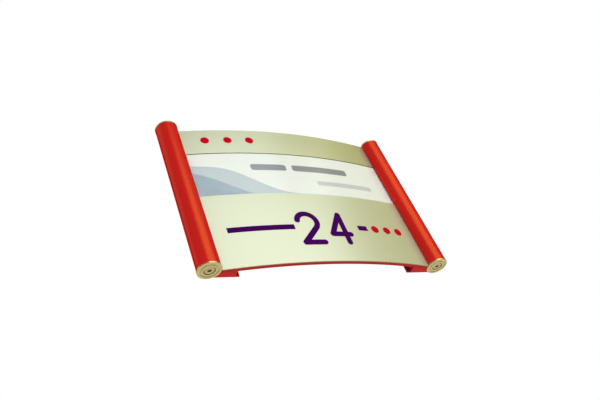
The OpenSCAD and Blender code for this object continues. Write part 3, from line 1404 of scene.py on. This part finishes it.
@dataclass
class BackPanel:
    """Curved plate between the rails, behind the face."""

    bow: Bow
    finish: Finish
    # Darker copy of the sawn red on the plate's lowest and highest faces: painted shade.
    shaded_edge_finish: Finish
    edge: float = 0.3 * MM

    def build(self) -> list[Piece]:
        """Builds and dresses the plate.

        Returns:
            Its one piece.
        """
        bow = self.bow
        low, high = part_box("back_panel")
        mesh = bow.sheet(bow.plate_front, bow.plate_back, low.z, high.z, self.edge, notched=True)
        plate = make_object("back_panel_plate", mesh)
        return [settle(plate, self.finish, Body.FRAME, "back_panel", ends=self.shaded_edge_finish)]


@dataclass
class NumberModule:
    """Lower face panel with its numerals, bars and dots."""

    bow: Bow
    panel_finish: Finish
    # Darker, warmer copy of the champagne on the panel's edges: painted shade.
    shaded_edge_finish: Finish
    numeral_finish: Finish
    dot_finish: Finish
    edge: float = 0.2 * MM

    def build(self) -> list[Piece]:
        """Builds the panel and dresses it and its films.

        Returns:
            The module's pieces.
        """
        bow = self.bow
        low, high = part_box("number_panel")
        mesh = bow.sheet(bow.face_radius, bow.panel_back, low.z, high.z, self.edge, notched=True)
        panel = make_object("number_panel_sheet", mesh)
        return [
            settle(panel, self.panel_finish, Body.NUMBER, "number_panel", ends=self.shaded_edge_finish),
            self.numeral_finish.dress_node("number_digits"),
            self.numeral_finish.dress_node("number_bars"),
            self.dot_finish.dress_node("number_dots"),
        ]


@dataclass
class NameModule:
    """Name window: a printed card behind a clear sheet."""

    bow: Bow
    card_finish: Finish
    lens_finish: Finish
    card_edge: float = 0.03 * MM
    lens_edge: float = 0.1 * MM

    def build(self) -> list[Piece]:
        """Builds and dresses the card and the clear sheet.

        Returns:
            The two pieces.
        """
        bow = self.bow
        low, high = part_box("name_card")
        card_front = bow.panel_back + bow.card_t
        lens_back = card_front + bow.lens_gap
        card_mesh = bow.sheet(card_front, bow.panel_back, low.z, high.z, self.card_edge)
        lens_mesh = bow.sheet(lens_back + bow.lens_t, lens_back, low.z, high.z, self.lens_edge)
        card = make_object("name_card_print", card_mesh)
        lens = make_object("name_lens_sheet", lens_mesh)
        return [
            settle(card, self.card_finish, Body.NAME, "name_card"),
            settle(lens, self.lens_finish, Body.NAME, "name_lens"),
        ]


@dataclass
class HeaderModule:
    """Upper face panel with its three dots."""

    bow: Bow
    panel_finish: Finish
    # Dark copy of the champagne on the panel's edges: painted shade.
    shaded_edge_finish: Finish
    dot_finish: Finish
    edge: float = 0.2 * MM

    def build(self) -> list[Piece]:
        """Builds the panel and dresses it and its dots.

        Returns:
            The module's pieces.
        """
        low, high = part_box("header_panel")
        mesh = self.bow.sheet(self.bow.face_radius, self.bow.panel_back, low.z, high.z, self.edge)
        panel = make_object("header_panel_sheet", mesh)
        return [
            settle(panel, self.panel_finish, Body.HEADER, "header_panel", ends=self.shaded_edge_finish),
            self.dot_finish.dress_node("header_dots"),
        ]


Assembly = Union[Rail, RailEnd, BackPanel, NumberModule, NameModule, HeaderModule]


def turned_to(place: Triple, aim: Triple) -> Euler:
    """Rotation that points a lamp or a card at an aim from its place."""
    return (Vector(aim) - Vector(place)).to_track_quat("-Z", "Y").to_euler()


@dataclass
class Softbox:
    """Studio lamp, a lit rectangle aimed at the sign."""

    name: str
    place: Triple
    width: float
    height: float
    power: float
    colour: Colour = WHITE
    aim: Triple = (0.0, 0.0, 0.0)

    def build(self) -> None:
        """Makes the lamp."""
        lamp = bpy.data.lights.new(self.name, "AREA")
        lamp.shape = "RECTANGLE"
        lamp.size = self.width
        lamp.size_y = self.height
        lamp.energy = self.power
        lamp.color = self.colour
        made = bpy.data.objects.new(self.name, lamp)
        made.location = self.place
        made.rotation_euler = turned_to(self.place, self.aim)
        bpy.context.scene.collection.objects.link(made)


@dataclass
class BounceCard:
    """Tinted card beside the sign, which shows only in its metal, as the dim side of a studio does."""

    name: str
    place: Triple
    width: float
    height: float
    colour: Colour
    aim: Triple = (0.0, 0.0, 0.0)

    def build(self) -> None:
        """Makes the card and keeps it out of sight and out of the other light."""
        card = make_object(self.name, flat_sheet(self.width, self.height))
        card.location = self.place
        card.rotation_euler = turned_to(self.place, self.aim)
        card.data.materials.append(TintedCard(self.name, NO_SLOT, self.colour).material())
        card.visible_camera = False
        card.visible_diffuse = False
        card.visible_transmission = False
        card.visible_shadow = False


STUDIO_LAMPS = (
    Softbox("key", (0.32, -1.058, 0.47), width=1.34, height=1.06, power=7.2, colour=(0.95, 1.0, 1.06)),
    Softbox("fill", (-0.7, -0.7, -0.6), width=0.8, height=0.8, power=1.5),
)

STUDIO_CARDS = (
    BounceCard("right_card", (0.8, -0.56, 0.66), width=0.6, height=1.2, colour=(0.7, 0.61, 0.08),
               aim=(0.0, -0.56, 0.66)),
    BounceCard("upper_card", (0.55, -0.69, 0.9), width=0.22, height=0.34, colour=(0.72, 0.66, 0.25)),
    BounceCard("dark_side_card", (1.08, 0.2, 1.0), width=1.2, height=1.3, colour=(0.05, 0.01, 0.01),
               aim=(0.0, 0.2, 1.0)),
    BounceCard("dark_back_card", (0.2, 0.8, 0.85), width=2.0, height=0.8, colour=(0.05, 0.01, 0.01),
               aim=(0.2, 0.0, 0.85)),
    BounceCard("left_card", (-0.96, -0.4, 0.8), width=2.65, height=1.0, colour=(0.4, 0.11, 0.17),
               aim=(-0.17, 0.22, 0.8)),
    BounceCard("overhead_card", (0.0, -0.66, 1.1), width=2.4, height=0.62, colour=(0.15, 0.08, 0.0),
               aim=(0.0, -0.66, 0.0)),
)


@dataclass
class Studio:
    """Floor, lamps, white surround and the camera of the photograph."""

    floor_z: float = -0.75
    floor_size: float = 8.0
    floor_finish: Finish = StudioFloor("studio_floor", NO_SLOT, srgb(240, 240, 238), srgb(232, 232, 230))
    ambient: float = 0.78
    camera_place: Triple = (-0.2932, -0.3692, -0.3637)
    camera_aim: Triple = (-0.01105, -0.0193, -0.01171)
    camera_roll: float = math.radians(-24.24)
    focal_px: float = 672.0
    image_px: int = 600
    sensor_mm: float = 36.0
    clip_start: float = 0.01
    lamps: tuple[Softbox, ...] = STUDIO_LAMPS
    cards: tuple[BounceCard, ...] = STUDIO_CARDS

    def build_floor(self) -> None:
        """Makes the floor below the sign."""
        mesh = flat_sheet(self.floor_size, self.floor_size)
        mesh.transform(Matrix.Translation((0, 0, self.floor_z)))
        floor = make_object("studio_floor", mesh)
        floor.data.materials.append(self.floor_finish.material())

    def build_world(self) -> None:
        """Makes the surround: white to see and to mirror, dimmer as light."""
        world = bpy.data.worlds.new("surround")
        bpy.context.scene.world = world
        world.use_nodes = True
        graph = Graph(world.node_tree)
        light = graph.add("ShaderNodeBackground", None, {"Color": WHITE, "Strength": self.ambient})
        white = graph.add("ShaderNodeBackground", None, {"Color": WHITE, "Strength": 1.0})
        graph.add("ShaderNodeOutputWorld", None, {"Surface": graph.blend(graph.seen(), light, white)})

    def build_camera(self) -> None:
        """Makes the photograph's camera."""
        data = bpy.data.cameras.new("camera")
        data.sensor_fit = "HORIZONTAL"
        data.sensor_width = self.sensor_mm
        data.lens = self.focal_px / self.image_px * self.sensor_mm
        data.clip_start = self.clip_start
        camera = bpy.data.objects.new("camera", data)
        ahead = (Vector(self.camera_aim) - Vector(self.camera_place)).normalized()
        level = ahead.cross(Vector((0, 0, 1))).normalized()
        above = level.cross(ahead)
        right = level * math.cos(self.camera_roll) + above * math.sin(self.camera_roll)
        up = right.cross(ahead)
        turn = Matrix((right, up, -ahead)).transposed()
        camera.matrix_world = Matrix.Translation(self.camera_place) @ turn.to_4x4()
        bpy.context.scene.collection.objects.link(camera)
        bpy.context.scene.camera = camera

    def build(self) -> None:
        """Makes the whole studio."""
        bpy.context.scene.view_settings.view_transform = "Standard"
        self.build_floor()
        self.build_world()
        self.build_camera()
        for item in (*self.lamps, *self.cards):
            item.build()


def main() -> None:
    """Builds the sign piece by piece, then the studio."""
    logging.basicConfig(level=logging.INFO, format="%(name)s: %(message)s")
    red = SatinMetal(
        "red_anodised_satin", "red_anodised", light=srgb(198, 22, 30), deep=srgb(186, 15, 25),
        streaks=UPRIGHT_STREAKS, metallic=0.0, roughness=0.25, gloss=0.0, lustre=0.1,
        lustre_tint=(1.0, 0.3, 0.05), relief=0.005 * MM)
    sawn = SawnMetal("red_anodised_sawn", "red_anodised", light=srgb(213, 36, 36), deep=srgb(199, 24, 28))
    # Painted shade: a dark copy of the sawn red for the right foot's inner walls, where shadow falls.
    inner = SawnMetal("red_anodised_painted_shade", "red_anodised", light=srgb(138, 30, 40), deep=srgb(118, 22, 32))
    # Painted shade: a darker copy of the sawn red for the back panel's lower and upper edges.
    sawn_plate_shaded = SawnMetal("red_plate_sawn_painted_shade", "red_anodised", light=srgb(188, 38, 28), deep=srgb(170, 24, 20))
    champagne = SatinMetal(
        "champagne_satin", "champagne", light=srgb(190, 195, 165), deep=srgb(181, 186, 156),
        streaks=LEVEL_STREAKS, metallic=0.38, roughness=0.32, gloss=1.0)
    header = SatinMetal(
        "champagne_satin_header", "champagne", light=srgb(190, 195, 165), deep=srgb(181, 187, 157),
        streaks=LEVEL_STREAKS, metallic=0.66, roughness=0.32, gloss=1.0)
    # Painted shade: a dark olive copy of the champagne for the header's edges, a shadow line under the
    # header.
    sheared = SawnMetal("champagne_sheared", "champagne", light=srgb(126, 122, 96), deep=srgb(104, 100, 76))
    # Painted shade: a darker, warmer copy of the champagne for the number panel's lower and upper edges.
    number_edge_painted_shade = SawnMetal(
        "champagne_sheared_lower", "champagne", light=srgb(184, 150, 112), deep=srgb(166, 130, 94))
    bow = Bow()
    # Only the right rail's inner walls take the painted shade; the left rail's keep the sawn red.
    left = Rail(Side.LEFT, bow, red, sawn, sawn)
    right = Rail(Side.RIGHT, bow, red, sawn, inner)
    gold = TurnedMetal(
        "pale_gold_turned", "pale_gold", light=srgb(230, 216, 156), deep=srgb(162, 146, 86), axis=right.axis)
    # The screws carry a painted shade in their sockets.
    steel = TurnedMetal(
        "screw_zinc", "screw_steel", light=srgb(216, 202, 148), deep=srgb(156, 142, 92), axis=right.axis,
        roughness=0.34, socket_shade_r=1.45 * MM)
    brass = TurnedMetal(
        "plug_brass_turned", "plug_brass", light=srgb(222, 196, 128), deep=srgb(180, 148, 76),
        axis=right.axis)
    purple = CutFilm("purple_film_cut", "purple_film", light=srgb(68, 0, 88), deep=srgb(56, 0, 72))
    dot_red = CutFilm("red_film_cut", "red_film", light=srgb(196, 2, 31), deep=srgb(184, 0, 24))
    card = PrintedCard(
        "name_card_print", "card_paper", paper=srgb(232, 232, 226), paper_shade=srgb(220, 220, 214),
        wave_light=srgb(164, 182, 194), wave_deep=srgb(118, 138, 152),
        ink_dark=srgb(112, 112, 122), ink_light=srgb(186, 186, 190),
        dark_bars=(
            PrintedBar(left=-44, right=-10, height=7.5, rise=29),
            PrintedBar(left=-4, right=55, height=7.5, rise=29),
        ),
        light_bars=(PrintedBar(left=16, right=77, height=5.5, rise=11.5),))
    clear = ClearSheet("clear_sheet", "clear_lens", tint=(0.985, 0.995, 0.98))
    assemblies: list[Assembly] = [left, right]
    assemblies += [RailEnd(rail, end, gold, steel, brass) for rail in (left, right) for end in End]
    assemblies += [
        BackPanel(bow, red, sawn_plate_shaded),
        NumberModule(bow, champagne, number_edge_painted_shade, purple, dot_red),
        NameModule(bow, card, clear),
        HeaderModule(bow, header, sheared, dot_red),
    ]
    for assembly in assemblies:
        for piece in assembly.build():
            LOG.info("%s: %d faces", piece.name, len(piece.data.polygons))
    Studio().build()


if __name__ == "__main__":
    main()
